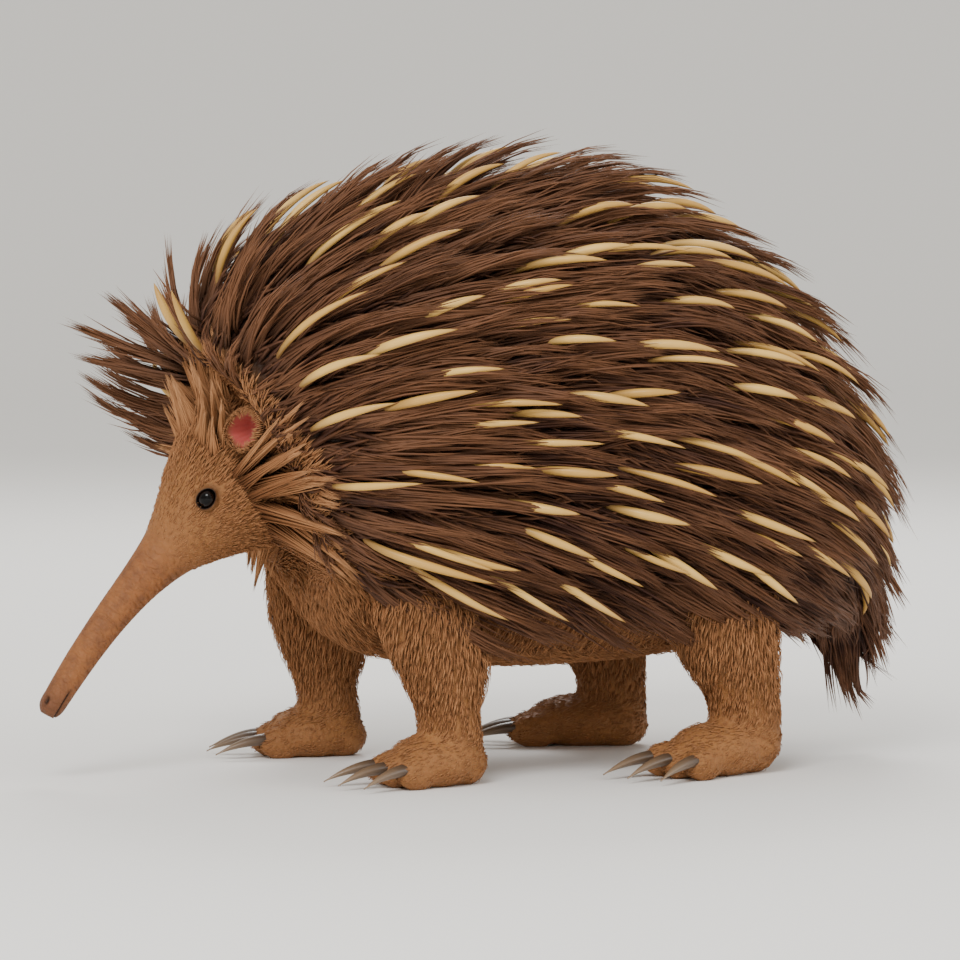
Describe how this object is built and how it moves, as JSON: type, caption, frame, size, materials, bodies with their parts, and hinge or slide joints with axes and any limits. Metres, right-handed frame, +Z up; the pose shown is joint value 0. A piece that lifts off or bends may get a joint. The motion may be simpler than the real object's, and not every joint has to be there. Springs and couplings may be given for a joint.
{
  "type": "echidna",
  "caption": "Still, life-size model of a long-beaked echidna standing on its feet, with a long shaggy coat, scattered pale spines, a down-curved tube beak and digging claws.",
  "frame": {"origin": "on the floor, under the middle of the model's box", "axes": "+Z up, the animal faces -X, its left side is towards -Y"},
  "size_m": [0.4754, 0.2669, 0.3244],
  "materials": {
    "coat": "coarse dark brown hair",
    "spine": "smooth cream horn",
    "face_fur": "short warm brown fur",
    "leg_fur": "short warm brown fur",
    "beak_skin": "bare leathery skin",
    "ear_skin": "thin skin with short fur",
    "eye": "wet and clear",
    "claw": "worn horn"
  },
  "bodies": {
    "root": {"beak": "beak_skin", "head": "face_fur", "ear_left": "ear_skin", "ear_right": "ear_skin", "eye_left": "eye", "eye_right": "eye", "neck": "coat", "torso": "coat", "tail": "coat", "leg_front_left": "leg_fur", "leg_front_right": "leg_fur", "leg_hind_left": "leg_fur", "leg_hind_right": "leg_fur", "foot_front_left": "leg_fur", "foot_front_right": "leg_fur", "foot_hind_left": "leg_fur", "foot_hind_right": "leg_fur", "claw_front_left_1": "claw", "claw_front_left_2": "claw", "claw_front_left_3": "claw", "claw_front_right_1": "claw", "claw_front_right_2": "claw", "claw_front_right_3": "claw", "claw_hind_left_1": "claw", "claw_hind_left_2": "claw", "claw_hind_left_3": "claw", "claw_hind_right_1": "claw", "claw_hind_right_2": "claw", "claw_hind_right_3": "claw"}
  },
  "joints": []
}
